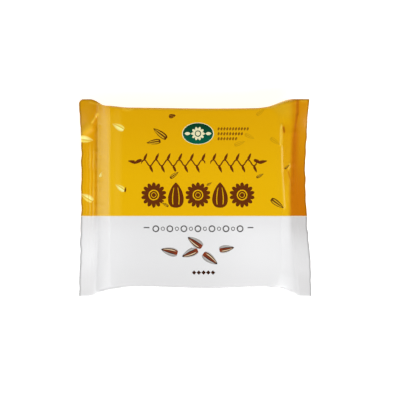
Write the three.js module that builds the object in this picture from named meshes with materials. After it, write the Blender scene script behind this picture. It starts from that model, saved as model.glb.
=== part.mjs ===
// A 250 g bar of sunflower halva in its shut flow-wrap pack, lying on its back with the printed face up.
// The film is drawn tight round a flat bar, pressed flat and crimped at the left and right ends, and closed
// along the back by a seam whose fin is folded flat. The pack can't be seen into, so it is one solid.
// Millimetres. X runs from end seal to end seal, Y up the printed face, Z up out of it. The origin is the
// middle of the surface that the pack lies on.
import * as THREE from "three";
import { mergeVertices } from "three/addons/utils/BufferGeometryUtils.js";

// Driving dimensions
const THICKNESS = 21; // the wrapped bar, back to front
const BODY_HALF = 52.5; // half the wrapped bar, across its middle
const SEAL_HALF = 57.8; // half the height of an end seal, where the tube of film lies flat
const EDGE_RADIUS = 1.3; // the bar's long edges under the film
const SEAL_PLY = 0.45; // the plies of film pressed together in an end seal
const FRONT_CROWN = 0.35; // the printed face rises this much to its middle

// Each end, outwards from the middle of the pack. "shoulder" is where the film leaves the bar's front edge,
// "root" where its plies meet and "rootHeight" how high they meet, at the top, middle and bottom of the
// pack. "edge" is where the plies are cut, at EDGE_ROWS.
const LEFT = {
  direction: -1,
  shoulder: { top: 48.6, middle: 48.6, bottom: 47.6 },
  root: { top: 57, middle: 57.2, bottom: 58.6 },
  rootBow: 2.6, // how late the root turns outwards to the ears
  rootHeight: { top: 12.4, middle: 11.2, bottom: 11.6 },
  edge: [67.8, 66.4, 66.4, 67.0, 67.7],
  drop: 0, // share of the slope that is a step down the bar's end face
  droop: 0.1, // fall of the seal for each millimetre out
  ribRise: 0.15, // crest to trough of the crimped ribs
  ribsFade: { from: 0.38, to: 0.65 }, // rows over which they fade towards the upper ear
  wornEdge: { width: 7, fall: 0.8 }, // the bar's worn front edge
  flare: {
    top: { gentle: 0.27, widens: { from: 38, to: 52 }, flares: { from: 51.5, to: 61 } },
    bottom: { gentle: 0.25, widens: { from: 38, to: 49 }, flares: { from: 47.5, to: 63 } },
  },
};
const RIGHT = {
  direction: 1,
  shoulder: { top: 40, middle: 50.8, bottom: 46 },
  root: { top: 60.4, middle: 57.3, bottom: 61.2 },
  rootBow: 1.8,
  rootHeight: { top: 15.4, middle: 15.2, bottom: 15 },
  edge: [67.4, 65.4, 65.4, 67.4, 68.5],
  drop: 0.11,
  droop: 0.45,
  ribRise: 0.09,
  ribsFade: { from: 0.6, to: 1 },
  wornEdge: { width: 3, fall: 0.25 },
  flare: {
    top: { gentle: 0.08, widens: { from: 36, to: 41 }, flares: { from: 39.5, to: 57.5 } },
    bottom: { gentle: 0.15, widens: { from: 41, to: 48 }, flares: { from: 50, to: 61.5 } },
  },
};
const EDGE_ROWS = [1, 0.5, 0, -0.5, -1]; // from the top of the pack to its bottom
const SHOULDER_BOW = 10; // how late the shoulder turns inwards to the ears
const ROOT_HEIGHT_BOW = 4; // how late the height of the root changes
const FACE_DRAWN = 0.8; // share of the way out that the bar's front and back edges follow the film

// The long sides aren't quite straight: each swells by "height" about its crest on X.
const SWELL = {
  top: { height: 0.3, length: 112, crest: -45 },
  bottom: { height: 0.45, length: 76, crest: 7 },
};

// Shares of the slope that are rounded: at its shoulder, at its two ends by the ears, and at its root.
const SHOULDER_ROUNDING = 0.25;
const EAR_ROUNDING = 0.75;
const ROUNDING_BOW = 6; // how late the one turns into the other
const ROOT_ROUNDING = 0.15;

// The step down the bar's end face takes this share of the slope's width, and fades between these rows.
const DROP_WIDTH = 0.18;
const DROP_FADES = { from: 0.76, to: 0.86 };

// The ear at the top left is rounded off, and bent down past a crease: "across" is the crease's direction
// as (outwards, up), "start" its distance from the middle of the face.
const EAR = { radius: 3, across: new THREE.Vector2(0.856, 0.517), start: 73.7, reach: 15, fall: 2.3 };

// Crimped ribs along each end seal. They are weak past the middle of the seal and towards the ears.
const CRIMP = { steps: 9, phase: 0.27, weakens: { from: 0.45, to: 0.7 }, weakest: 0.2 };

// A shallow wave along each end seal, greatest at the cut edge.
const SEAL_WAVE = { height: 0.5, length: 46 };

// The seam down the middle of the back: its fin is folded towards -Y and lies in a sunken band, so that the
// fin and the bar's back edges share the plane Z = 0.
const SEAM = { fold: 0, free: -12, ply: 0.35, step: 0.4 };
const BACK_BAND = { flat: 22, rim: 38 }; // |Y| up to which the back is sunk, and from which it is flat

// Lines of the grid that is formed over the bar
const BODY_STATIONS = 9; // from the middle to a shoulder
const SLOPE_SHARES = [0, 0.09, 0.18, 0.31, 0.48, 0.66, 0.85]; // from a shoulder to before the root
const ROW_SPACING = 5.2;

const { lerp, smoothstep, clamp } = THREE.MathUtils;

// A line that runs through line.middle on the X axis and bends away to line.top or line.bottom at the
// ears, the later the higher power is.
function bowed(line, row, power) {
  return lerp(line.middle, row > 0 ? line.top : line.bottom, Math.abs(row) ** power);
}

// A smooth line through the cut edge's places, by Lagrange's formula.
function cutEdge(end, row) {
  return end.edge.reduce((sum, place, i) => {
    const others = EDGE_ROWS.filter((at, k) => k !== i);
    return sum + others.reduce((term, at) => (term * (row - at)) / (EDGE_ROWS[i] - at), place);
  }, 0);
}

// Distance out from the middle: zone 0 to 1 is the bar, 1 to 2 the slope and 2 to 3 the end seal.
function distanceOut(end, zone, row) {
  const shoulder = bowed(end.shoulder, row, SHOULDER_BOW);
  const root = bowed(end.root, row, end.rootBow);
  if (zone <= 1) return shoulder * zone;
  if (zone <= 2) return lerp(shoulder, root, zone - 1);
  return lerp(root, cutEdge(end, row), zone - 2);
}

// How far the plies have closed, 0 on the bar to 1 in the seal: a straight slope, rounded at both ends.
function closingOf(end, share, row) {
  const t = clamp(share, 0, 1);
  const rounding = lerp(SHOULDER_ROUNDING, EAR_ROUNDING, Math.abs(row) ** ROUNDING_BOW);
  const steepness = 1 / (1 - (rounding + ROOT_ROUNDING) / 2);
  let slope = steepness * (t - rounding / 2);
  if (t < rounding) slope = (steepness * t * t) / (2 * rounding);
  if (t > 1 - ROOT_ROUNDING) slope = 1 - (steepness * (1 - t) ** 2) / (2 * ROOT_ROUNDING);
  const drop = end.drop * (1 - smoothstep(Math.abs(row), DROP_FADES.from, DROP_FADES.to));
  return lerp(slope, smoothstep(t, 0, DROP_WIDTH), drop);
}

// Half the wrapped bar's height on one side of the X axis.
function barHalf(end, out, row) {
  const swell = row > 0 ? SWELL.top : SWELL.bottom;
  const turn = (2 * Math.PI * (end.direction * out - swell.crest)) / swell.length;
  return BODY_HALF + swell.height * Math.cos(turn);
}

// How far the film is drawn out towards an ear, 0 on the bar to 1 in the ear: gently beside the bar's end,
// then in a flare.
function drawnOut(end, out, row) {
  const { gentle, widens, flares } = row > 0 ? end.flare.top : end.flare.bottom;
  return lerp(gentle * smoothstep(out, widens.from, widens.to), 1, smoothstep(out, flares.from, flares.to));
}

// Half the height of the pack's outline, where the flattened tube flares into its ears.
function outlineHalf(end, out, row) {
  const flared = lerp(barHalf(end, out, row), SEAL_HALF, drawnOut(end, out, row));
  const roundedFrom = end.edge[0] - EAR.radius;
  if (end !== LEFT || row < 0 || out < roundedFrom) return flared;
  const intoCorner = Math.min(out - roundedFrom, EAR.radius);
  return flared - EAR.radius + Math.sqrt(EAR.radius ** 2 - intoCorner ** 2);
}

// The crimped ribs' wave, -1 to 1, from the root (share 0) to the cut edge (share 1).
function crimpWave(end, share, row) {
  const wave = Math.cos(Math.PI * (CRIMP.steps * share + CRIMP.phase));
  const weakened = lerp(1, CRIMP.weakest, smoothstep(share, CRIMP.weakens.from, CRIMP.weakens.to));
  const towardsEars = (1 - row ** 4) * (1 - smoothstep(row, end.ribsFade.from, end.ribsFade.to));
  return wave * Math.min(1, share * CRIMP.steps) * weakened * towardsEars;
}

// Height of the middle of the plies, or of the bar's middle plane.
function middleHeight(end, zone, out, row) {
  const rootHeight = bowed(end.rootHeight, row, ROOT_HEIGHT_BOW);
  if (zone <= 2) return lerp(THICKNESS / 2, rootHeight, closingOf(end, zone - 1, row));
  const share = zone - 2;
  const y = row * SEAL_HALF;
  const droop = end.droop * (out - bowed(end.root, row, end.rootBow)) * (1 - row * row);
  const wave = SEAL_WAVE.height * share * Math.sin((2 * Math.PI * y) / SEAL_WAVE.length);
  const pastCrease = EAR.across.dot(new THREE.Vector2(out, y)) - EAR.start;
  const bent = end === LEFT ? EAR.fall * smoothstep(pastCrease, 0, EAR.reach) : 0;
  return rootHeight - droop + wave + (end.ribRise / 2) * crimpWave(end, share, row) - bent;
}

// The front face's own relief: its crown, and the worn edge along the bar's end.
function frontRelief(end, out, row) {
  const shoulder = end.shoulder.middle;
  const crown = FRONT_CROWN * (1 - clamp(out / shoulder, 0, 1) ** 2) * (1 - row ** 2);
  const { width, fall } = end.wornEdge;
  return crown - FRONT_CROWN - fall * smoothstep(out, shoulder - width, shoulder);
}

// The back's relief above Z = 0: the sunken band, less the seam's folded fin that fills it.
function backRelief(y) {
  const sunk = SEAM.ply * (1 - smoothstep(Math.abs(y), BACK_BAND.flat, BACK_BAND.rim));
  const pastFree = smoothstep(y, SEAM.free - SEAM.step, SEAM.free);
  const pastFold = smoothstep(y, SEAM.fold, SEAM.fold + SEAM.step);
  return sunk - SEAM.ply * (pastFree - pastFold);
}

// Where a point lies on the pack: "station" is -3 to 3 from left to right, with the zones above as its
// size, "row" -1 to 1 up the face, and "level" -1 on the back to 1 on the front.
function onPack(station, row, level) {
  const end = station < 0 ? LEFT : RIGHT;
  const zone = Math.abs(station);
  const out = distanceOut(end, zone, row);
  const closing = closingOf(end, zone - 1, row);
  const outline = outlineHalf(end, out, row);
  const faceHalf = lerp(barHalf(end, out, row), outline, Math.max(closing, FACE_DRAWN));
  const halfDepth = lerp(THICKNESS / 2, SEAL_PLY / 2, closing);

  // A rounded rectangle, whose sides are then drawn out to the outline at mid height
  const radius = Math.min(EDGE_RADIUS, halfDepth);
  const flat = new THREE.Vector2(row * faceHalf, level * halfDepth);
  const inner = new THREE.Vector2(faceHalf - radius, halfDepth - radius);
  const core = flat.clone().clamp(inner.clone().negate(), inner);
  const reach = flat.clone().sub(core);
  if (reach.length() > radius) flat.copy(core).add(reach.setLength(radius));
  const height = flat.y / halfDepth;
  const y = flat.x + Math.sign(flat.x) * (outline - faceHalf) * (1 - Math.abs(height));

  const onBar = 1 - closing;
  const relief = onBar * (height > 0 ? frontRelief(end, out, row) * height : -backRelief(y) * height);
  return new THREE.Vector3(end.direction * out, y, middleHeight(end, zone, out, row) + flat.y + relief);
}

// Stations from the left cut edge (-3) through the middle (0) to the right cut edge (3), with one on each
// crest and trough of the ribs.
function stations() {
  const half = [];
  for (let i = 0; i < BODY_STATIONS; i++) half.push(Math.sin((i / BODY_STATIONS) * (Math.PI / 2)));
  for (const share of SLOPE_SHARES) half.push(1 + share);
  half.push(2);
  for (let k = 1; k <= CRIMP.steps; k++) half.push(2 + (k - CRIMP.phase) / CRIMP.steps);
  half.push(3);
  const left = half.slice(1).reverse().map((zone) => -zone);
  return [...left, ...half];
}

// Rows up the face, as shares of its half height: lines where the relief turns, with even ones between.
function rows() {
  const turns = [SEAM.free - SEAM.step, SEAM.free, SEAM.fold, SEAM.fold + SEAM.step];
  const edges = [0, EDGE_RADIUS].flatMap((inset) => [inset - BODY_HALF, BODY_HALF - inset]);
  const fixed = [...turns, ...edges].sort((a, b) => a - b);
  const lines = [fixed[0]];
  for (let i = 1; i < fixed.length; i++) {
    const gap = fixed[i] - fixed[i - 1];
    const steps = Math.max(1, Math.round(gap / ROW_SPACING));
    for (let k = 1; k <= steps; k++) lines.push(fixed[i - 1] + (gap * k) / steps);
  }
  return lines.map((y) => y / BODY_HALF);
}

// Levels from the back to the front, with one where each rounded edge ends.
function levels() {
  const roundedFrom = 1 - EDGE_RADIUS / (THICKNESS / 2);
  return [-1, -roundedFrom, 0, roundedFrom, 1];
}

// The pack: a box with a line for each station, row and level, formed over the bar.
function packGeometry() {
  const grid = [stations(), rows(), levels()];
  const steps = grid.map((lines) => lines.length - 1);
  const box = new THREE.BoxGeometry(...steps, ...steps);
  const corners = box.attributes.position;
  const at = (axis, value) => grid[axis][Math.round(value + steps[axis] / 2)];
  for (let i = 0; i < corners.count; i++) {
    const placed = onPack(at(0, corners.getX(i)), at(1, corners.getY(i)), at(2, corners.getZ(i)));
    corners.setXYZ(i, placed.x, placed.y, placed.z);
  }
  box.deleteAttribute("normal");
  box.deleteAttribute("uv");
  const closed = mergeVertices(box);
  closed.computeBoundingBox();
  const middle = closed.boundingBox.getCenter(new THREE.Vector3());
  closed.translate(-middle.x, -middle.y, -closed.boundingBox.min.z);
  closed.computeVertexNormals();
  return closed;
}

const printedFilm = new THREE.MeshStandardMaterial({ color: 0xe1ac08, roughness: 0.3, metalness: 0 });

const halvaPack = new THREE.Mesh(packGeometry(), printedFilm);
halvaPack.name = "halva_pack";

const group = new THREE.Group();
group.add(halvaPack);

export default group;
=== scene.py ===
# %% [markdown]
# # A bar of sunflower halva in its film pack
#
# The object is a flat bar of halva, shut in a glossy printed film. Such a pack is called a flow wrap: a
# machine folds an endless film into a tube round the bars, welds its two edges together along the back,
# then presses and cuts the tube at each end of the bar. All that shows is the film, so nearly everything
# here is about one thin sheet: how it lies, how it is printed and how it shines.
#
# Lengths in the shaping formulas are millimetres on the pack, measured from the middle of the printed face.

# %% The frame
import math

import bmesh
import bpy
import numpy as np
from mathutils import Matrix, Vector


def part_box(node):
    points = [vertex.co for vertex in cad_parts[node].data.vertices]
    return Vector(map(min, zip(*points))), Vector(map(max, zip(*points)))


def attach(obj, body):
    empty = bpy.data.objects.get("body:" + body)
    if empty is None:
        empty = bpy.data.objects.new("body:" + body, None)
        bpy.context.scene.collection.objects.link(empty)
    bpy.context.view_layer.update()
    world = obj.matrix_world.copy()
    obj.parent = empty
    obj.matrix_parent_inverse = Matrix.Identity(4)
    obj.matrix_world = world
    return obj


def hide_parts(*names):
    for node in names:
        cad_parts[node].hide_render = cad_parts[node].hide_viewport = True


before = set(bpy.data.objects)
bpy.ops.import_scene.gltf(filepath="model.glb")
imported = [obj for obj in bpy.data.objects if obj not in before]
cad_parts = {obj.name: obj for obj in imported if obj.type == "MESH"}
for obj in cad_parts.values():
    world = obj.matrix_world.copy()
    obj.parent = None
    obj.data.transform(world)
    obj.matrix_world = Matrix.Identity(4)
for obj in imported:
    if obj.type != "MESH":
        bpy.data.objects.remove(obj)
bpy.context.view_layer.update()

MM = 0.001

# %% [markdown]
# ## The camera
#
# The pack lies on its back and the camera looks straight down on it, as a catalogue shows such a pack. A
# long lens far away keeps its sides out of sight. A short lens close by would show them, and would make the
# printed face look bigger than the seals, which lie 11 mm lower.

# %% The camera
CAMERA_HEIGHT = 2500
VIEW_WIDTH = 234.8  # what the square image shows, at the height of the end seals
VIEW_MIDDLE = (2.9, -1.35)
SEAL_HEIGHT = 9

camera_data = bpy.data.cameras.new("camera")
camera_data.lens = camera_data.sensor_width * (CAMERA_HEIGHT - SEAL_HEIGHT) / VIEW_WIDTH
camera = bpy.data.objects.new("camera", camera_data)
camera.location = (VIEW_MIDDLE[0] * MM, VIEW_MIDDLE[1] * MM, CAMERA_HEIGHT * MM)
bpy.context.scene.collection.objects.link(camera)
bpy.context.scene.camera = camera
print("lens", round(camera_data.lens), "mm")

# %% [markdown]
# ## Shader maths as Python
#
# A material's pattern is arithmetic on coordinates. Wiring each sum by hand hides what it says, so this
# small class wraps a node's output: an expression such as `1 - mask` then adds the Math node itself.

# %% A field over a surface
class Field:
    """A node's output, as something that Python expressions can work on."""

    def __init__(self, tree, socket):
        self.tree, self.socket = tree, socket

    def node(self, kind, settings=(), inputs=(), output=0):
        """Adds a node of that type. Its settings are set first, then its inputs, by number or name."""
        new = self.tree.nodes.new("ShaderNode" + kind)
        for name, value in dict(settings).items():
            if name == "stops":
                set_stops(new.color_ramp, *value)
            else:
                setattr(new, name, value)
        for key, value in dict(inputs).items():
            if isinstance(value, Field):
                self.tree.links.new(value.socket, new.inputs[key])
            else:
                new.inputs[key].default_value = value
        return Field(self.tree, new.outputs[output])

    def math(self, operation, *others):
        return self.node("Math", {"operation": operation}, enumerate((self, *others)))

    def __add__(self, other):
        return self.math("ADD", other)

    def __sub__(self, other):
        return self.math("SUBTRACT", other)

    def __rsub__(self, other):
        return (self * -1).math("ADD", other)

    def __mul__(self, other):
        return self.math("MULTIPLY", other)

    def __truediv__(self, other):
        return self.math("DIVIDE", other)

    def __pow__(self, other):
        return self.math("POWER", other)

    def __lt__(self, other):
        return self.math("LESS_THAN", other)

    def __gt__(self, other):
        return self.math("GREATER_THAN", other)

    def __abs__(self):
        return self.math("ABSOLUTE")

    def ease(self, start, stop):
        """0 up to start, 1 from stop, and smooth between them."""
        settings = {"interpolation_type": "SMOOTHSTEP"}
        return self.node("MapRange", settings, {"Value": self, "From Min": start, "From Max": stop})

    def ramp(self, stops, interpolation="LINEAR"):
        return self.node("ValToRGB", {"stops": (interpolation, stops)}, {"Fac": self})

    def part(self, axis):
        return self.node("SeparateXYZ", inputs={0: self}, output=axis)


def set_stops(color_ramp, interpolation, stops):
    """Gives a ramp its stops, a list of (place, colour)."""
    color_ramp.interpolation = interpolation
    while len(color_ramp.elements) < len(stops):
        color_ramp.elements.new(1)
    for element, (place, colour) in zip(color_ramp.elements, stops):
        element.position, element.color = place, colour


def mix(below, above, share):
    """The colour below, covered by the colour above as far as share says."""
    return share.node("Mix", {"data_type": "RGBA"}, {0: share, 6: below, 7: above}, output=2)


def grey(value):
    return (value, value, value, 1)


def srgb(*screen):
    """A colour as it looks on a screen, 0 to 255, as the linear light that a shader works with."""
    return (*(((c / 255 + 0.055) / 1.055) ** 2.4 if c > 10 else c / 255 / 12.92 for c in screen), 1)


# %% [markdown]
# ## The studio
#
# Catalogue photographs are lit by big soft lights at the sides, because a light above a glossy pack would be
# mirrored in its face and wash the print out. So the sky is dark overhead and bright near the horizon, except
# on the right, where it is kept dark: the slope there mirrors it and stays deep in colour. Most of the light
# comes from one big lamp on the near side, to the right, which isn't mirrored in the face. Weak lamps beyond
# the pack and on its left leave soft reflections, and a small one higher up on the left makes the fine pale
# lines where the film bends or is pressed into ribs.

# %% The floor
FLOOR_SIZE = 4000
PAPER_GREY, PAPER_GLOW = 0.9, 0.7  # the glow lifts the paper to the plain white of a catalogue page

plane = bmesh.new()
bmesh.ops.create_grid(plane, x_segments=1, y_segments=1, size=FLOOR_SIZE / 2 * MM)
floor_mesh = bpy.data.meshes.new("floor")
plane.to_mesh(floor_mesh)
plane.free()
floor = bpy.data.objects.new("floor", floor_mesh)
bpy.context.scene.collection.objects.link(floor)

paper = bpy.data.materials.new("paper")
paper.use_nodes = True
paper_look = paper.node_tree.nodes["Principled BSDF"].inputs
paper_look["Base Color"].default_value = grey(PAPER_GREY)
paper_look["Roughness"].default_value = 0.9
paper_look["Specular IOR Level"].default_value = 0
paper_look["Emission Color"].default_value = grey(1)
paper_look["Emission Strength"].default_value = PAPER_GLOW
floor_mesh.materials.append(paper)

# %% The sky
world = bpy.data.worlds.new("studio")
bpy.context.scene.world = world
world.use_nodes = True
background = world.node_tree.nodes["Background"]
direction = Field(world.node_tree, background.outputs[0]).node("TexCoord", output="Generated")
glow = direction.part("Z").ramp([(0.0, grey(1.0)), (0.3, grey(0.8)), (0.55, grey(0.1)), (1.0, grey(0.02))])
dark_side = direction.part("X").ease(-0.2, 0.5)
glow = mix(glow, grey(0.04), dark_side)
world.node_tree.links.new(glow.socket, background.inputs["Color"])
background.inputs["Strength"].default_value = 1.1

# %% The lights
def soft_light(name, place, size, power):
    """A square light of that size, in metres, and power, in watts, turned towards the pack."""
    data = bpy.data.lights.new(name, "AREA")
    data.shape, data.size, data.energy = "SQUARE", size, power
    light = bpy.data.objects.new(name, data)
    light.location = place
    towards = -light.location
    light.rotation_euler = towards.to_track_quat("-Z", "Y").to_euler()
    bpy.context.scene.collection.objects.link(light)


soft_light("near_light", (0.75, -1.5, 1.6), 1.6, 57.2)
soft_light("far_light", (-0.1, 1.3, 1.0), 1.4, 5)
soft_light("left_light", (-1.5, 0.2, 0.75), 1.2, 3)
soft_light("gleam_light", (-0.95, 0.0, 1.2), 0.55, 1.3)

bpy.context.scene.view_settings.view_transform = "Standard"

# %% [markdown]
# ## The sheet, before it is wrapped
#
# The pack's surface could be built from many faces placed one by one, but a film is one skin. So it starts as
# a box of -1 to 1 on each side, cut into a fine grid: columns from end to end, rows up the face and 11 levels
# from the back to the front. Each grid line is then moved to where the film really lies. The columns lie
# closest together where the film bends most, which is in the seals and on the slopes beside them.

# %% Grid lines across the pack
BODY_STEPS, SLOPE_STEPS, SEAL_STEPS = 55, 20, 40
ROW_SPACING = 0.62
LEVELS = (-1, -0.96, -0.92, -0.87, -0.4, 0, 0.4, 0.87, 0.92, 0.96, 1)

# Half the wrapped bar, the half height of the flattened seals, and the bar's thickness
BODY_HALF, SEAL_HALF, THICKNESS = 52.5, 57.8, 21.0

# The seam's folded fin on the back, from its fold to its free edge, and the thickness it adds
FIN_FOLD, FIN_FREE, FIN_STEP, FIN_PLY = 0.0, -12.0, 0.4, 0.35


def station_lines():
    """Columns from the left cut edge (-3) over the bar's middle (0) to the right cut edge (3)."""
    body = np.sin(np.linspace(0, np.pi / 2, BODY_STEPS + 1))[:-1]
    slope = 1 + np.linspace(0, 1, SLOPE_STEPS + 1)[:-1]
    seal = 2 + np.linspace(0, 1, SEAL_STEPS + 1)
    half = np.concatenate([body, slope, seal])
    return np.concatenate([-half[:0:-1], half])


def row_lines():
    """Rows up the face, -1 to 1, with lines of their own at the seam's fin."""
    fin = [FIN_FREE - FIN_STEP, FIN_FREE, FIN_FOLD, FIN_FOLD + FIN_STEP]
    marks = [-BODY_HALF, *fin, BODY_HALF]
    rows = [marks[0]]
    for low, high in zip(marks, marks[1:]):
        steps = max(1, round((high - low) / ROW_SPACING))
        rows.extend(low + (high - low) * (k + 1) / steps for k in range(steps))
    return np.array(rows) / BODY_HALF


lines = [station_lines(), row_lines(), np.array(LEVELS)]
print("grid lines", [len(axis) for axis in lines])

# %% The fine box
sheet = bmesh.new()
bmesh.ops.create_cube(sheet, size=2)
for axis in range(3):
    along = [e for e in sheet.edges if abs(e.verts[0].co[axis] - e.verts[1].co[axis]) > 1]
    bmesh.ops.subdivide_edges(sheet, edges=along, cuts=len(lines[axis]) - 2, use_grid_fill=True)
film_mesh = bpy.data.meshes.new("film")
sheet.to_mesh(film_mesh)
sheet.free()

slab = np.empty(len(film_mesh.vertices) * 3)
film_mesh.vertices.foreach_get("co", slab)
slab = slab.reshape(-1, 3)
step_of = [np.rint((slab[:, axis] + 1) / 2 * (len(lines[axis]) - 1)).astype(int) for axis in range(3)]
station, row, level = (lines[axis][step_of[axis]] for axis in range(3))
zone = np.abs(station)
print(len(film_mesh.vertices), "points,", len(film_mesh.polygons), "faces")

# %% [markdown]
# ## How the film lies
#
# The film is tight round the bar. Past the bar's end it slopes down to half height, where the two plies meet
# and are welded. The tube is flattened there, so it gets wider: its corners stand out as small ears. The same
# numbers shape the solid that this sheet replaces.

# %% Three ways to blend
def blend(a, b, share):
    return a + (b - a) * share


def ease(x, start, stop):
    """0 up to start, 1 from stop, and smooth between them."""
    t = np.clip((x - start) / (stop - start), 0, 1)
    return t * t * (3 - 2 * t)


def band(x, start, full, still, stop):
    """0 up to start, 1 from full to still, 0 again from stop, and smooth between them."""
    return ease(x, start, full) * (1 - ease(x, still, stop))


# %% The two ends
# Outwards from the middle, "shoulder" is where the film leaves the bar, "root" where its plies meet, and
# "root_height" how high they meet, all as they are at the top, middle and bottom. "edge" is where the plies
# are cut, at 5 rows from top to bottom, and "worn_edge" how wide the bar's worn edge is and how far it falls.
# The ribs fade out over the rows of "ribs_fade". "flare" holds what flared() is given for the upper ear and
# for the lower one, and "root_bow" the power that the root is bowed by.
LEFT = {
    "direction": -1,
    "shoulder": (48.6, 48.6, 47.6),
    "root": (57.0, 57.2, 58.6),
    "edge": (67.8, 66.4, 66.4, 67.0, 67.7),
    "root_height": (12.4, 11.2, 11.6),
    "droop": 0.1,
    "worn_edge": (7.0, 0.8),
    "rib_rise": 0.2,
    "ribs_fade": (0.38, 0.65),
    "pucker_rise": 0.16,
    "flare": ((0.27, 38.0, 52.0, 51.5, 61.0), (0.25, 38.0, 49.0, 47.5, 63.0)),
    "root_bow": 2.6,
}
RIGHT = {
    "direction": 1,
    "shoulder": (40.0, 50.8, 46.0),
    "root": (60.4, 57.3, 61.2),
    "edge": (67.4, 65.4, 65.4, 67.4, 68.5),
    "root_height": (15.4, 15.2, 15.0),
    "droop": 0.45,
    "worn_edge": (3.0, 0.25),
    "rib_rise": 0.12,
    "ribs_fade": (0.60, 1.00),
    "pucker_rise": 0.08,
    "flare": ((0.08, 36.0, 41.0, 39.5, 57.5), (0.15, 41.0, 48.0, 50.0, 61.5)),
    "root_bow": 1.8,
}
EDGE_ROWS = (1, 0.5, 0, -0.5, -1)
SHOULDER_BOW, ROOT_HEIGHT_BOW = 10, 4
EDGE_RADIUS, SEAL_PLY, FRONT_CROWN = 1.3, 0.45, 0.35

# Shares of the slope that are rounded: at the shoulder, at its two ends by the ears, and at the root
SHOULDER_ROUNDING, EAR_ROUNDING, ROOT_ROUNDING = 0.25, 0.75, 0.15

# On the right the film first drops down the bar's end face, by this share of the way, over this share of
# the slope. Towards the ears it leaves the bar gently instead.
DROP, DROP_WIDTH, DROP_ROWS = 0.11, 0.18, (0.76, 0.86)


def bowed(values, row, power):
    """A line that is straight in the middle and bends away towards the ears, later for a higher power."""
    top, middle, bottom = values
    return blend(middle, np.where(row > 0, top, bottom), np.abs(row) ** power)


def cut_edge(end, row):
    """A smooth line through the edge's 5 places."""
    return np.polyval(np.polyfit(EDGE_ROWS, end["edge"], len(EDGE_ROWS) - 1), row)


def closing_of(end, share, row):
    """0 on the bar to 1 in the seal: a straight slope, rounded at its shoulder and at its root."""
    t = np.clip(share, 0, 1)
    rounding = blend(SHOULDER_ROUNDING, EAR_ROUNDING, np.abs(row) ** 6)
    steepness = 1 / (1 - (rounding + ROOT_ROUNDING) / 2)
    start = steepness * t**2 / (2 * rounding)
    stop = 1 - steepness * (1 - t) ** 2 / (2 * ROOT_ROUNDING)
    straight = steepness * (t - rounding / 2)
    slope = np.where(t < rounding, start, np.where(t > 1 - ROOT_ROUNDING, stop, straight))
    drop = DROP * (1 - ease(np.abs(row), *DROP_ROWS)) * (end is RIGHT)
    return blend(slope, ease(t, 0, DROP_WIDTH), drop)


# %% The long sides
# How a long side swells: by how much, where it is widest, and how far it is from there to the next swell
TOP_SWELL, BOTTOM_SWELL = (0.3, -45, 112), (0.45, 7, 76)
EAR_RADIUS = 3.0


def swell(x, rise, widest, pitch):
    return rise * np.cos(2 * np.pi * (x - widest) / pitch)


def bar_half(x, row):
    """Half the wrapped bar's height: its long sides swell and hollow a little."""
    return BODY_HALF + np.where(row > 0, swell(x, *TOP_SWELL), swell(x, *BOTTOM_SWELL))


def flared(out, gentle, gentle_from, gentle_to, steep_from, steep_to):
    """A gentle widening beside the bar's end, by that share of the way, then the flare into the ear."""
    return blend(gentle * ease(out, gentle_from, gentle_to), 1, ease(out, steep_from, steep_to))


def drawn_out(end, out, row):
    """0 on the bar to 1 in the ear."""
    top, bottom = end["flare"]
    return np.where(row > 0, flared(out, *top), flared(out, *bottom))


def outline_half(end, out, row):
    """Half the height of the pack's outline. The ear at the top left is rounded off."""
    half = blend(bar_half(end["direction"] * out, row), SEAL_HALF, drawn_out(end, out, row))
    into_corner = np.clip(out - end["edge"][0] + EAR_RADIUS, 0, EAR_RADIUS)
    rounded = half - EAR_RADIUS + np.sqrt(EAR_RADIUS**2 - into_corner**2)
    return np.where((row > 0) & (end is LEFT), rounded, half)


# %% [markdown]
# ## Small relief
#
# A tight film is never quite flat. The bar's end edge is worn, so the face falls a little before the
# shoulder. The face itself crowns and has faint broad waves. Where the film is gathered towards a seal it has
# small puckers, which run down the slope and fade at the shoulder. And handling has left a few folds: a sharp
# one stands along the right shoulder, and a broad one crosses the seal under the ear at the top left.

# %% Waves and puckers
WAVE_RISE = 0.05
chance = np.random.default_rng(7)


def ripples(t, longest, shortest, count):
    """A smooth random wave of about -1 to 1 along t."""
    lengths = np.geomspace(longest, shortest, count)
    phases = chance.uniform(0, 2 * np.pi, count)
    return sum(np.cos(2 * np.pi * t / length + phase) for length, phase in zip(lengths, phases)) / count**0.5


def front_relief(end, out, row):
    """The printed face: its crown, its worn end edge, and its waves, which run aslant."""
    shoulder = end["shoulder"][1]
    crown = FRONT_CROWN * (1 - np.clip(out / shoulder, 0, 1) ** 2) * (1 - row**2)
    width, fall = end["worn_edge"]
    aslant = out * 0.8 + row * 23
    waves = WAVE_RISE * ripples(aslant, 61, 27, 3) * (1 - row**4)
    return crown - FRONT_CROWN - fall * ease(out, shoulder - width, shoulder) + waves


def puckers(end, zone, row, side):
    """Folds that run down the slope to the root, on the front (side 1) or the back (side -1).

    They are weaker over the lower rows.
    """
    depth = band(zone, 1.15, 1.9, 2.0, 2.35) * blend(0.3, 1, ease(row, -0.55, -0.1))
    return end["pucker_rise"] * depth * ripples(row * SEAL_HALF + 3 * side, 21, 4.6, 6)


# %% The back
FIN_RIBS, FIN_RIB_RISE = 5, 0.12


def back_relief(y):
    """The back's middle is sunk by the thickness of the seam's ribbed fin, which fills part of it again."""
    sunk = FIN_PLY * (1 - ease(np.abs(y), 22, 38))
    on_fin = band(y, FIN_FREE - FIN_STEP, FIN_FREE, FIN_FOLD, FIN_FOLD + FIN_STEP)
    turns = FIN_RIBS * (y - FIN_FOLD) / (FIN_FREE - FIN_FOLD)
    groove = FIN_RIB_RISE / 2 * (1 - np.cos(2 * np.pi * turns))
    return sunk - (FIN_PLY - groove) * on_fin


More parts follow.
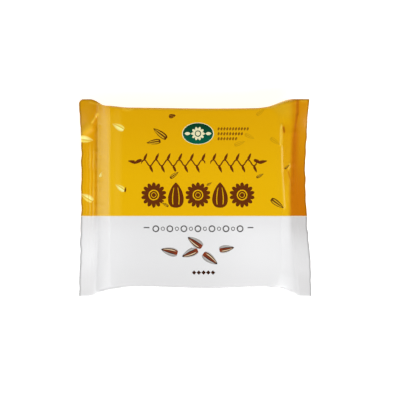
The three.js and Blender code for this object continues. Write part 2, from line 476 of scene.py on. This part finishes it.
# %% Sharp folds
# Each has a half width, a rise, its painted light and the points that it runs through, given as (outwards,
# up). A positive share paints a pale highlight along the fold. A negative one paints shade: it deepens the
# colour as in the shade of a sunken fold, and by as much as it goes beyond -1 it darkens the colour too.
LEFT["folds"] = (
    (0.60, 0.30, 1.0, ((56.8, 49.2), (58.7, 46.0), (60.0, 44.2))),
    (2.60, 0.70, 0.5, ((61.0, 41.0), (65.5, 38.3))),
    (1.00, -0.04, -0.5, ((57.6, 46.5), (58.6, 40.0), (58.8, 34.0), (58.6, 18.0), (57.8, 6.0), (57.7, -8.0))),
    (0.35, 0.30, 0.6, ((50.0, 30.0), (50.0, -10.0))),
    (0.50, 0.05, 0.5, ((36.3, 51.6), (39.0, 51.0), (41.6, 51.7))),
    (0.50, 0.10, 0.5, ((61.2, 56.0), (57.0, 54.8))),
)
RIGHT["folds"] = (
    (0.55, 0.45, 1.0, ((50.8, 42.5), (50.5, 31.0))),
    (0.42, 0.45, 0.8, ((51.1, 29.8), (51.4, 13.0), (52.5, -6.0))),
    (0.60, -0.10, -1.8, ((52.2, 41.0), (52.6, 38.6))),
    (1.20, -0.05, -1.3, ((60.5, 57.5), (60.5, 49.5))),
    (1.00, -0.10, -1.2, ((60.1, 48.0), (59.3, 42.4), (58.6, 35.6))),
    (1.00, -0.10, -1.15, ((58.4, 33.6), (58.1, 22.0), (58.1, 8.0))),
    (0.40, 0.25, 0.8, ((55.6, 19.8), (55.2, 17.0))),
    (0.40, -0.10, -1.0, ((54.8, 15.5), (56.5, 10.0), (57.2, 2.0))),
    (0.80, 0.00, 0.4, ((62.2, 56.8), (65.2, 56.8))),
)


def near_fold(half_width, points, out, y):
    """1 on a fold's line, fading away from it on all sides."""
    away = np.inf
    for (x0, y0), (x1, y1) in zip(points, points[1:]):
        run = (x1 - x0, y1 - y0)
        t = np.clip(((out - x0) * run[0] + (y - y0) * run[1]) / (run[0] ** 2 + run[1] ** 2), 0, 1)
        away = np.minimum(away, np.hypot(out - x0 - t * run[0], y - y0 - t * run[1]))
    return np.exp(-((away / half_width) ** 2))


def folded(end, out, y):
    """How high the film is lifted by its folds, and the light and shade painted along them."""
    near = [near_fold(half_width, points, out, y) for half_width, _, _, points in end["folds"]]
    lift = sum(rise * share for share, (_, rise, _, _) in zip(near, end["folds"]))
    fold_light_and_shade = sum(worn * share for share, (_, _, worn, _) in zip(near, end["folds"]))
    return lift, fold_light_and_shade


# %% [markdown]
# ## The seals
#
# Hot jaws press the plies together between ribs, which leave the fine lines along each end. A seal isn't
# stiff, so it waves a little, the right one hangs down, and the ear at the top left is bent down.

# %% The seals
CRIMP_RIBS, RIB_PHASE = 4, 0.27
RIB_STEPS = 2 * CRIMP_RIBS + 1
SEAL_WAVE, SEAL_WAVE_LENGTH = 0.5, 46

# The ear at the top left is bent down past a crease. It points this way, (outwards, up), and the crease lies
# across that, this far from the middle of the face. The ear falls by its drop over its reach.
EAR_WAY, CREASE_AT = (0.856, 0.517), 73.7
EAR_DROP, EAR_REACH = 2.3, 15


def crimp(end, share, row):
    """The ribs' wave, -1 to 1. It is weak at the root, out at the cut edge and towards the ears."""
    wave = np.cos(np.pi * (RIB_STEPS * share + RIB_PHASE))
    strength = np.minimum(1, share * RIB_STEPS) * (1 - 0.8 * ease(share, 0.45, 0.7))
    strength = strength * (1 - row**4) * (1 - ease(row, *end["ribs_fade"]))
    return wave * strength * (0.75 + 0.25 * ripples(row * SEAL_HALF, 40, 9, 4))


def past_crease(out, y):
    """How far beyond the ear's crease a point lies."""
    return EAR_WAY[0] * out + EAR_WAY[1] * y - CREASE_AT


def seal_height(end, root_height, share, out, root, row):
    """How high the middle of the plies lies, from the root (share 0) to the cut edge (share 1)."""
    y = row * SEAL_HALF
    droop = end["droop"] * (out - root) * (1 - row**2)
    wave = SEAL_WAVE * share * np.sin(2 * np.pi * y / SEAL_WAVE_LENGTH)
    height = root_height - droop + wave + end["rib_rise"] / 2 * crimp(end, share, row)
    if end is LEFT:
        height = height - EAR_DROP * ease(past_crease(out, y), 0, EAR_REACH)
    return height


# %% [markdown]
# ## Wrapping the sheet
#
# Across the pack the film's section is a rectangle with rounded corners, whose sides are drawn out to a ridge
# towards the ears. A point of the box that lies outside the rounded corner is pulled straight back to it.

# %% Wrapping the sheet
FACE_DRAWN = 0.8  # towards the ears the front and back edges follow the ridge by at least this share
EDGE_WANDER = 0.2  # how far the cut edges stray from their smooth lines


def wrap(end, zone, row, level):
    """Where points of one half of the pack lie, in millimetres, and the light and shade painted along the
    folds there.
    """
    shoulder = bowed(end["shoulder"], row, SHOULDER_BOW)
    root = bowed(end["root"], row, end["root_bow"])
    edge = cut_edge(end, row) + EDGE_WANDER * ripples(row * SEAL_HALF, 33, 8, 5) * (1 - row**8)
    beyond_shoulder = np.where(zone <= 2, blend(shoulder, root, zone - 1), blend(root, edge, zone - 2))
    out = np.where(zone <= 1, shoulder * zone, beyond_shoulder)

    closing = closing_of(end, zone - 1, row)
    outline = outline_half(end, out, row)
    face_half = blend(bar_half(end["direction"] * out, row), outline, np.maximum(closing, FACE_DRAWN))
    half_depth = blend(THICKNESS / 2, SEAL_PLY / 2, closing)

    radius = np.minimum(EDGE_RADIUS, half_depth)
    across, up = row * face_half, level * half_depth
    core_across = np.clip(across, radius - face_half, face_half - radius)
    core_up = np.clip(up, radius - half_depth, half_depth - radius)
    reach = np.hypot(across - core_across, up - core_up)
    pull = np.where(reach > radius, radius / np.maximum(reach, 1e-9), 1)
    across = core_across + (across - core_across) * pull
    up = core_up + (up - core_up) * pull

    height = up / half_depth
    y = across + np.sign(across) * (outline - face_half) * (1 - np.abs(height))
    front, back = np.maximum(height, 0), np.maximum(-height, 0)
    relief = (1 - closing) * (front_relief(end, out, row) * front + back_relief(y) * back)
    relief = relief + puckers(end, zone, row, 1) * front + puckers(end, zone, row, -1) * back
    lift, fold_light_and_shade = folded(end, out, y)
    relief = relief + lift * blend(front, 1, closing**2)
    root_height = bowed(end["root_height"], row, ROOT_HEIGHT_BOW)
    on_bar = blend(THICKNESS / 2, root_height, closing)
    middle = np.where(zone <= 2, on_bar, seal_height(end, root_height, zone - 2, out, root, row))
    return np.stack([end["direction"] * out, y, middle + up + relief], axis=1), fold_light_and_shade * front


film = np.empty_like(slab)
painted_fold_light = np.empty(len(slab))
for end, half in ((LEFT, station < 0), (RIGHT, station >= 0)):
    film[half], painted_fold_light[half] = wrap(end, zone[half], row[half], level[half])

low, high = (np.array(corner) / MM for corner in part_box("halva_pack"))
film += ((low + high) - (film.min(axis=0) + film.max(axis=0))) / 2
film_mesh.vertices.foreach_set("co", (film * MM).ravel())
film_mesh.update()
print("wrapped film", (film.max(axis=0) - film.min(axis=0)).round(1), "mm")

# %% [markdown]
# ## Where the print goes
#
# The print was made on the flat film, so it needs flat coordinates. The first UV map gives each point of the
# pack its place on the unrolled film, in millimetres: across the pack, and round it, from the middle of the
# face over a long side to the seam. The fin is folded down, so its outer ply belongs to the upper half of the
# film. The map is cut at the fin's free edge, where two edges of the film meet.

# %% The film map
corner_count = len(film_mesh.loops)
corner_point = np.empty(corner_count, dtype=int)
film_mesh.loops.foreach_get("vertex_index", corner_point)
face_size = len(corner_point) // len(film_mesh.polygons)
face_points = corner_point.reshape(-1, face_size)

face_level = level[face_points]
on_front = (face_level == 1).all(axis=1)
on_back = (face_level == -1).all(axis=1)
face_y = film[face_points, 1].mean(axis=1)

x, y = film[corner_point, 0], film[corner_point, 1]
turned = BODY_HALF + (1 - level[corner_point]) / 2 * THICKNESS
side = np.sign(row[corner_point])
upper_back = np.repeat(on_back & (face_y > FIN_FREE - FIN_STEP / 2), face_size)
lower_back = np.repeat(on_back, face_size) & ~upper_back
round_film = np.where(np.repeat(on_front, face_size), y, side * turned)
round_film = np.where(upper_back, 2 * BODY_HALF + THICKNESS - y, round_film)
round_film = np.where(lower_back, -(2 * BODY_HALF + THICKNESS) - y, round_film)

film_map = film_mesh.uv_layers.new(name="film")
film_map.data.foreach_set("uv", np.stack([x, round_film], axis=1).ravel())
print("film from", round_film.min().round(), "to", round_film.max().round(), "mm")

# %% [markdown]
# Where two plies are welded, less light comes back through them, so the film looks deeper in colour there,
# most of all in the right seal. Part of that is painted shade, which alone darkens the pearly field in the
# seals. Painted shade also deepens the colour on the upper right slope and in sunken folds, and the pearly
# field is darker low down. All this depends on where a point lies between the shoulder and the seal, which
# the shader can't know. So it is stored on the points, as an attribute.

# %% Where the colour is deeper, partly by painted shade
on_left, y = station < 0, film[:, 1]


def store(name, *shares):
    """Puts the greatest of the shares on each point, for the material to read by that name."""
    values = np.max(shares, axis=0)
    film_mesh.attributes.new(name, "FLOAT", "POINT").data.foreach_set("value", values)


def by_end(left, right):
    """The first value on the pack's left half, and the second on its right half."""
    return np.where(on_left, left, right)


# The welded seals, the right one paler towards its upper ear, and both of them paler low down: the deeper
# tone of two plies, with painted shade in it
at_root = by_end(0.4, 1 - 0.4 * ease(y, 34, 50))
at_cut = by_end(0.25, 1 - 0.45 * ease(y, 0, 40))
welded_and_shade = ease(zone, by_end(1.86, 1.5), 2.02) * blend(at_root, at_cut, ease(zone, 2.05, 2.6))
welded_and_shade = welded_and_shade * blend(by_end(0, 0.3), 1, ease(y, -34, -10))

# Painted shade on the upper right slope, which looks deeper in colour
right_slope_shade = 0.25 * ease(zone, 1.05, 1.25) * band(y, 3, 11, 40, 46) * ~on_left

# The pearly field low down, first on the bar and then in the seals
low_down = 0.18 * (1 - ease(zone, 0.9, 1.1)) + by_end(0.33, 0.5) * ease(zone, 1.95, 2.15)
low_down = low_down * ease(-y, 32, 50)

store("welded_and_shade", welded_and_shade, right_slope_shade, low_down, -painted_fold_light)

# %% [markdown]
# Painted shade darkens the rim of the seals, the long bend at the lower side of the face, the bent ear, the
# groove where the left slope meets its seal, and the deepest folds.

# %% Where shade is painted
RIM_SHADE, BEND_SHADE, EAR_SHADE, GROOVE_SHADES = 0.7, 0.7, 0.15, (0.12, 0.3)

rim = np.maximum(ease(zone, 2.84, 2.95), ease(row, 0.98, 0.995) * ease(zone, 1.8, 2.0))
lower_bend = ease(-row, 0.965, 1.0) * ease(level, 0.4, 0.87) * (1 - ease(zone, 1.6, 1.95))
bent_ear = on_left * ease(past_crease(-film[:, 0], y), 0, EAR_REACH / 3)
groove = band(zone, 1.88, 2.0, 2.02, 2.2) * on_left * blend(*GROOVE_SHADES, ease(y, 8, 20))
groove = groove * band(y, -12, -11, 40, 46)
store("shade", RIM_SHADE * rim, BEND_SHADE * lower_bend, EAR_SHADE * bent_ear, groove, -1 - painted_fold_light)

# %% [markdown]
# A painted highlight makes the gold paler where the film is stretched over the bar's left edge and over its
# corner at the top right, along the folds that are painted pale and on the crests of the left seal's ribs.
# The ribs' own wave is stored as well, since the pale seeds of the left seal hardly show between its ribs.

# %% Where a highlight is painted
OVER_LEFT, OVER_RIGHT, RIB_HIGHLIGHT = 0.15, 0.25, 0.85

over_left = OVER_LEFT * ease(zone, 0.85, 0.9) + OVER_LEFT * ease(zone, 1.0, 1.1)
over_left = over_left * (1 - ease(zone, 1.9, 2.0)) * (1 - ease(y, 46, 52)) * on_left
over_right = OVER_RIGHT * band(zone, 1.0, 1.3, 1.7, 1.9) * ease(y, 44, 52) * ~on_left
ribs = crimp(LEFT, zone - 2, row) * (zone > 2) * on_left
store("painted_highlight", over_left + over_right, RIB_HIGHLIGHT * np.maximum(0, ribs), painted_fold_light)
store("ribs", ribs)

# %% [markdown]
# ## Stamps
#
# The seeds and ornaments are a few motifs, repeated at many places, sizes and angles. A shader could draw
# each one by a formula of its own, but that takes hundreds of nodes. Instead, the second UV map works like a
# set of rubber stamps: round each motif's place the faces get that motif's own small coordinates, -1 to 1
# along it. One formula for each kind of motif then draws all its copies. The kind is coded in the map as
# well: each kind's coordinates are moved along by 4 more.

# %% Kinds of motif
KINDS = ["nothing", "hull", "sketch", "faint", "pale", "leaf", "bloom", "bold", "badge", "ring", "line"]
KIND_STEP = 4
PRINT_RISE = 0.55  # the film was fed a little high, so all of its print is
stamps = []


def stamp(kind, x, y, angle, half_length, half_width=0.6, flip=1):
    """A motif at that place, its tip turned by angle in degrees from +X, mirrored if flip is -1."""
    stamps.append((KINDS.index(kind), x, y + PRINT_RISE, math.radians(angle), half_length, half_width, flip))


# %% Seeds on the white field
for x, y, angle, half_length, flip in (
    (-14.9, -31.9, 166, 5.1, 1),
    (-2.9, -32.9, 204, 5.1, -1),
    (0.0, -26.6, 145, 5.2, -1),
    (18.4, -30.4, 10, 4.5, 1),
    (8.8, -36.2, -37, 5.3, -1),
):
    stamp("hull", x, y, angle, half_length, flip=flip)

# %% Seeds on the yellow field
for kind, x, y, angle, half_length, flip in (
    ("bold", -13.3, 47.2, 12, 2.0, 1),
    ("sketch", -20.4, 36.9, 143, 5.0, 1),
    ("sketch", -24.1, 32.0, 188, 4.2, 1),
    ("sketch", -12.2, 12.6, 36, 3.1, 1),
    ("sketch", 37.9, 12.3, 28, 2.4, 1),
    ("sketch", 48.0, -3.9, -36, 4.6, -1),
    ("sketch", 53.8, 17.5, 40, 1.9, 1),
    ("leaf", -40.7, 4.2, 80, 1.5, 1),
    ("sketch", -17.4, -4.6, 150, 2.2, 1),
    ("sketch", 8.2, 7.4, 30, 1.9, -1),
    ("faint", 31.8, 35.3, -25, 3.2, 1),
    ("faint", 26.0, 31.2, 20, 3.4, 1),
    ("faint", 38.2, 49.2, 35, 2.9, -1),
    ("faint", 46.8, 32.4, -35, 3.5, 1),
    ("pale", -44.9, 40.9, 152, 3.9, 1),
    ("pale", -43.8, 5.3, 145, 3.3, 1),
    # These three pale seeds are painted highlights: glints on the left seal and on the left slope, drawn in
    # the shape of the printed pale seeds.
    ("pale", -63.9, 33.7, -8, 4.3, 1),
    ("pale", -63.4, -0.4, 150, 4.2, -1),
    ("pale", -55.2, 13.0, 70, 1.7, 1),
):
    stamp(kind, x, y, angle, half_length, flip=flip)

# %% The badge
BADGE, BADGE_HALF, BADGE_SHAPE = (1.7, 36.9), 9.3, 0.69
stamp("badge", *BADGE, 0, BADGE_HALF, BADGE_SHAPE)

# %% The vine's leaves
VINE_HEIGHT, VINE_SWING, VINE_WAVE = 19.8, 1.7, 6.8
VINE_RUNS = ((-31.4, 6.0), (8.9, 36.1))
LEAF_HALF, LEAF_TURN, LEAF_AHEAD, LEAF_OFF_STEM = 2.2, 66, 0.8, 2.0
END_LEAF_HALF, END_LEAF_RISE = 2.9, 0.6

for start_x, stop_x in VINE_RUNS:
    for k in range(round((stop_x - start_x) / (VINE_WAVE / 2))):
        side = -1 if k % 2 else 1
        x = start_x + (k + 0.5) * VINE_WAVE / 2 + LEAF_AHEAD
        stamp("leaf", x, VINE_HEIGHT + side * (VINE_SWING + LEAF_OFF_STEM), side * LEAF_TURN, LEAF_HALF)
for x, angle in ((-36.4, 168), (-33.8, 206), (39.4, 12), (37.0, -26)):
    stamp("leaf", x, VINE_HEIGHT + END_LEAF_RISE, angle, END_LEAF_HALF)

# %% The title's row of blooms and seeds
TITLE_MIDDLE, TITLE_STEP, TITLE_HALF = (1.7, 1.0), 12.9, 7.4

for k in range(-2, 3):
    kind, half_width = ("bold", 0.62) if k % 2 else ("bloom", 1)
    stamp(kind, TITLE_MIDDLE[0] + k * TITLE_STEP, TITLE_MIDDLE[1], 90, TITLE_HALF, half_width)

# %% A row of rings, with a short line at each end
RINGS, RING_START, RING_STEP, RING_HEIGHT = 13, -22.9, 4.1, -18.7
BIG_RING, SMALL_RING = 2.0, 1.2
LINE_HEIGHT, LINE_HALF, LINE_WIDTH = -18.0, 1.7, 0.3

for k in range(RINGS):
    stamp("ring", RING_START + RING_STEP * k, RING_HEIGHT, 0, SMALL_RING if k % 2 else BIG_RING, 1)
for x in (-28.3, 32.4):
    stamp("line", x, LINE_HEIGHT, 0, LINE_HALF, LINE_WIDTH)
print(len(stamps), "stamps")

# %% The stamp map
REACH = 1.45  # how far round a motif's middle its own coordinates go, where its edge is at 1

stamp_uv = np.zeros((corner_count, 2))
nearest = np.full(len(face_points), np.inf)
face_x = film[face_points, 0].mean(axis=1)


def local(dx, dy, angle, half_length):
    """Coordinates along and across a motif, in units of its half length."""
    along = (dx * math.cos(angle) + dy * math.sin(angle)) / half_length
    across = (dy * math.cos(angle) - dx * math.sin(angle)) / half_length
    return along, across


for kind, x0, y0, angle, half_length, half_width, flip in stamps:
    along, across = local(face_x - x0, face_y - y0, angle, half_length)
    distance = np.hypot(along, across / half_width)
    mine = on_front & (distance < REACH) & (distance < nearest)
    nearest[mine] = distance[mine]
    corners = np.repeat(mine, face_size)
    points = corner_point[corners]
    along, across = local(film[points, 0] - x0, film[points, 1] - y0, angle, half_length)
    stamp_uv[corners] = np.stack([along + KIND_STEP * kind, across * flip], axis=1)
film_mesh.uv_layers.new(name="stamps").data.foreach_set("uv", stamp_uv.ravel())
print(int(np.isfinite(nearest).sum()), "faces carry a motif")

# %% [markdown]
# ## The inks
#
# The film is pearly white all over, and most of it is printed golden yellow. The yellow ends in a straight
# line across the face. Painted light and shade are mixed into those two fields, and everything else is laid
# over them in order, as a press lays its inks.

# %% A material for the film
film_material = bpy.data.materials.new("printed_film")
film_material.use_nodes = True
gloss = film_material.node_tree.nodes["Principled BSDF"]
start = Field(film_material.node_tree, gloss.outputs[0])

on_film = start.node("UVMap", {"uv_map": "film"})
film_x, film_y = on_film.part("X"), on_film.part("Y") - PRINT_RISE

on_stamp = start.node("UVMap", {"uv_map": "stamps"})
stamp_x, stamp_b = on_stamp.part("X"), on_stamp.part("Y")
stamp_kind = ((stamp_x + KIND_STEP / 2) / KIND_STEP).math("FLOOR")
stamp_a = stamp_x - stamp_kind * KIND_STEP


def is_kind(name):
    return stamp_kind.math("COMPARE", KINDS.index(name), 0.5)


# %% The two fields
YELLOW_FROM, CREAM_LINE_HALF = -11.2, 0.5
SHADED_GOLD_TOP, GOLD_LOW = srgb(229, 171, 2), srgb(238, 184, 2)
ORANGE, PALE_GOLD, SHADED_GOLD = srgb(206, 118, 1), srgb(250, 208, 60), srgb(150, 104, 8)
PEARL, PEARL_LIT_AT_ENDS, DARKER_PEARL = srgb(236, 236, 237), srgb(245, 245, 246), srgb(214, 212, 212)
SHADED_PEARL = srgb(165, 164, 165)
CREAM = srgb(240, 232, 190)


def stored(name):
    return start.node("Attribute", {"attribute_name": name}, output="Fac")


# Painted shade makes the gold darker towards the top, where the face gets less light. Then the seals' deeper
# colour with its painted shade, the painted highlights and more painted shade are mixed in.
gold = mix(GOLD_LOW, SHADED_GOLD_TOP, film_y.ease(4, 56))
gold = mix(gold, ORANGE, stored("welded_and_shade"))
gold = mix(gold, PALE_GOLD, stored("painted_highlight") * 0.8)
gold = mix(gold, SHADED_GOLD, stored("shade"))
# Painted light makes the pearl brighter towards both ends, where the bowed face turns to the light. It is a
# little darker just below the yellow and darker low down, and painted shade darkens it in the seals and along
# the bend at the lower side.
pearl = mix(PEARL, PEARL_LIT_AT_ENDS, abs(film_x + 12).ease(10, 52))
pearl = mix(pearl, DARKER_PEARL, film_y.ease(-24, -12) * 0.2)
pearl = mix(pearl, DARKER_PEARL, stored("welded_and_shade"))
pearl = mix(pearl, SHADED_PEARL, stored("shade"))
yellow_mask = film_y > YELLOW_FROM
colour = mix(pearl, CREAM, (abs(film_y - YELLOW_FROM) < CREAM_LINE_HALF) * 0.6)
colour = mix(colour, gold, yellow_mask)

# %% Shapes of the motifs
BROWN = srgb(104, 48, 8)
SKETCH_INK = srgb(84, 34, 4)
OLIVE = srgb(140, 100, 10)
GREY = srgb(92, 90, 90)
DEEP_GREEN, GREEN = srgb(6, 62, 36), srgb(4, 92, 68)


def seed_width(plumpness):
    """Half the width of a seed: blunt at a = -1, widest at a third of its length, pointed at a = 1."""
    return (1 - stamp_a) ** 0.8 * (stamp_a + 1) ** 0.4 * (plumpness / 1.07)


def across_seed(half_width):
    """0 to 1 from one edge of a seed to the other."""
    return (stamp_b / half_width + 1) * 0.5


plump, slender, slim = seed_width(0.5), seed_width(0.36), seed_width(0.34)
not_cut_off = stamp_a > -0.94
in_seed = (abs(stamp_b) < plump) * not_cut_off
radius = (stamp_a * stamp_a + stamp_b * stamp_b).math("SQRT")
bearing = stamp_b.math("ARCTAN2", stamp_a)

# %% Seeds in their striped hulls
across_hull = across_seed(plump)
hull_colours = across_hull.ramp([
    (0.00, srgb(150, 142, 138)), (0.05, srgb(222, 218, 214)), (0.09, srgb(206, 200, 195)),
    (0.12, srgb(44, 28, 24)), (0.22, srgb(74, 38, 26)), (0.26, srgb(240, 208, 166)),
    (0.32, srgb(246, 222, 184)), (0.36, srgb(54, 28, 20)), (0.44, srgb(112, 50, 28)),
    (0.56, srgb(140, 64, 38)), (0.61, srgb(80, 38, 26)), (0.68, srgb(40, 28, 26)),
    (0.72, srgb(150, 146, 142)), (0.78, srgb(206, 203, 199)), (0.86, srgb(150, 146, 142)),
    (0.94, srgb(186, 182, 178)), (1.00, srgb(90, 84, 80)),
])
blunt = (1 - stamp_a.ease(-0.8, -0.4)) * across_hull.ease(0.1, 0.2) * (1 - across_hull.ease(0.72, 0.82))
hull_colours = mix(hull_colours, srgb(136, 58, 32), blunt)
hull_colours = mix(hull_colours, srgb(50, 34, 30), stamp_a.ease(0.6, 0.92))
colour = mix(colour, hull_colours, in_seed * is_kind("hull"))

# %% Sketched seeds
sketch_ink = across_seed(slender).ramp([
    (0.00, grey(1.0)), (0.20, grey(1.0)), (0.24, grey(0.0)), (0.36, grey(0.0)), (0.40, grey(1.0)),
    (0.62, grey(0.9)), (0.67, grey(0.1)), (0.80, grey(0.0)), (0.85, grey(0.8)), (1.00, grey(0.9)),
])
sketch_ink = sketch_ink.node("RGBToBW", inputs={0: sketch_ink})
in_sketch = (abs(stamp_b) < slender) * not_cut_off
dark_ends = (1 - stamp_a.ease(-0.85, -0.5)).math("MAXIMUM", stamp_a.ease(0.6, 0.85))
sketched = in_sketch * sketch_ink.math("MAXIMUM", dark_ends)
colour = mix(colour, PALE_GOLD, in_sketch * is_kind("sketch") * 0.25)
colour = mix(colour, SKETCH_INK, sketched * is_kind("sketch"))
colour = mix(colour, OLIVE, sketched * is_kind("faint") * 0.35)

# %% Pale seeds
pale_colours = across_hull.ramp([
    (0.00, srgb(238, 194, 60)), (0.16, srgb(252, 236, 120)), (0.32, srgb(246, 214, 80)),
    (0.40, srgb(216, 172, 36)), (0.50, srgb(255, 252, 160)), (0.74, srgb(253, 246, 150)),
    (1.00, srgb(240, 200, 80)),
])
pale_share = 1 - stamp_a.ease(-0.1, 0.9) * 0.6  # they fade towards their tips, and between the ribs
pale_share = pale_share * (1 - (stored("ribs") * -1).ease(0, 0.8) * 0.8)
colour = mix(colour, pale_colours, in_seed * is_kind("pale") * pale_share)

# %% The vine and its leaves
STEM_HALF = 0.38
steepest = VINE_SWING * 2 * math.pi / VINE_WAVE

colour = mix(colour, BROWN, (abs(stamp_b) < slim) * is_kind("leaf"))
for start_x, stop_x in VINE_RUNS:
    turn = (film_x - start_x) * (2 * math.pi / VINE_WAVE)
    off_stem = abs(film_y - VINE_HEIGHT - turn.math("SINE") * VINE_SWING)
    slant = (((turn.math("COSINE") * steepest) ** 2) + 1).math("SQRT")
    in_run = (film_x > start_x) * (film_x < stop_x)
    colour = mix(colour, BROWN, (off_stem < slant * STEM_HALF) * in_run)

# %% Blooms and bold seeds
petals = abs((bearing * 7).math("COSINE")) ** 0.7 * 0.3 + 0.7
in_bloom = (radius < petals) * (radius > 0.42) + (radius < 0.33) * (abs(radius - 0.19) > 0.025)
colour = mix(colour, BROWN, in_bloom * is_kind("bloom"))
stout = seed_width(0.62)
stripe = abs(abs(stamp_b / stout) - 0.42) < 0.06
in_bold = (abs(stamp_b) < stout) * (1 - stripe * (abs(stamp_a + 0.08) < 0.66))
colour = mix(colour, BROWN, in_bold * is_kind("bold"))

# %% The badge
oval = ((stamp_b / BADGE_SHAPE) ** 2 + stamp_a**2).math("SQRT")
colour = mix(colour, CREAM, (oval < 1) * is_kind("badge"))
colour = mix(colour, mix(GREEN, DEEP_GREEN, stamp_b.ease(-0.5, 0.6)), (oval < 0.95) * is_kind("badge"))
badge_petals = abs((bearing * 5).math("COSINE")) ** 0.8 * 0.17 + 0.26
in_flower = (radius < badge_petals) * (radius > 0.2) + (radius < 0.14)
along_leaf = (abs(stamp_a) - 0.66) / 0.19
in_leaf = abs(stamp_b) < (1 - along_leaf**2) * 0.1
colour = mix(colour, CREAM, in_flower.math("MAXIMUM", in_leaf) * is_kind("badge"))

# %% Rings and short lines
colour = mix(colour, GREY, (radius < 1) * (radius > 0.64) * is_kind("ring"))
colour = mix(colour, GREY, (abs(stamp_a) < 1) * (abs(stamp_b) < 0.2) * is_kind("line"))

# %% [markdown]
# Small figures that stand close together in a straight row need no stamps. One formula that repeats along the
# film draws the whole row.

# %% Rows of small figures
def off_figure(start_x, pitch):
    """How far a point is from the nearest figure's middle, as a share of the pitch, -0.5 to 0.5."""
    return ((film_x - start_x) / pitch).math("FRACT") - 0.5


def in_row(start_x, pitch, count):
    """Where a row of that many figures is."""
    return (film_x > start_x) * (film_x < start_x + count * pitch)


# %% Five lozenges below the seeds
LOZENGES, LOZENGE_START, LOZENGE_PITCH = 5, -1.9, 2.75
LOZENGE_HEIGHT, LOZENGE_HALF = -44.3, 1.3

off_lozenge = abs(off_figure(LOZENGE_START, LOZENGE_PITCH)) * LOZENGE_PITCH
in_lozenge = off_lozenge + abs(film_y - LOZENGE_HEIGHT) < LOZENGE_HALF
in_lozenge = in_lozenge * in_row(LOZENGE_START, LOZENGE_PITCH, LOZENGES)
colour = mix(colour, srgb(60, 28, 14), in_lozenge)

# %% Three rows of grains beside the badge
GRAIN_START, GRAIN_PITCH, GRAIN_HALF, GRAIN_WIDTH, GRAIN_LEAN = 12.9, 1.7, 1.05, 0.36, 0.14

for row_y, grains in ((39.7, 11), (36.8, 9), (33.9, 7)):
    rise = (film_y - row_y) / GRAIN_HALF
    off_grain = off_figure(GRAIN_START, GRAIN_PITCH) - rise * GRAIN_LEAN
    in_grain = (abs(off_grain) < (1 - rise**2) * GRAIN_WIDTH) * in_row(GRAIN_START, GRAIN_PITCH, grains)
    colour = mix(colour, BROWN, in_grain * 0.8)

# %% [markdown]
# ## Gloss
#
# The film is a plastic, so it mirrors the lights without tinting them. It isn't polished: it mirrors softly,
# and its skin has a fine unevenness that breaks the mirrored edges up.

# %% Gloss
SKIN_SCALE, SKIN_DEPTH = 260.0, 0.1 * MM
ROUGHNESS, ROUGHER_BY, MIRRORING = 0.2, 0.06, 0.42

place = start.node("TexCoord", output="Object")
skin = start.node("TexNoise", inputs={"Vector": place, "Scale": SKIN_SCALE, "Detail": 3.0}, output="Fac")
bump = start.node("Bump", inputs={"Height": skin, "Strength": 0.2, "Distance": SKIN_DEPTH})
roughness = skin * ROUGHER_BY + ROUGHNESS
for name, field in (("Base Color", colour), ("Roughness", roughness), ("Normal", bump)):
    film_material.node_tree.links.new(field.socket, gloss.inputs[name])
gloss.inputs["Specular IOR Level"].default_value = MIRRORING

# %% The pack
SHARP_FROM = 50  # degrees between two faces

film_mesh.materials.append(film_material)
film_mesh.polygons.foreach_set("use_smooth", [True] * len(film_mesh.polygons))
film_mesh.set_sharp_from_angle(angle=math.radians(SHARP_FROM))
pack = bpy.data.objects.new("film_pack", film_mesh)
bpy.context.scene.collection.objects.link(pack)
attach(pack, "root")
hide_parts("halva_pack")
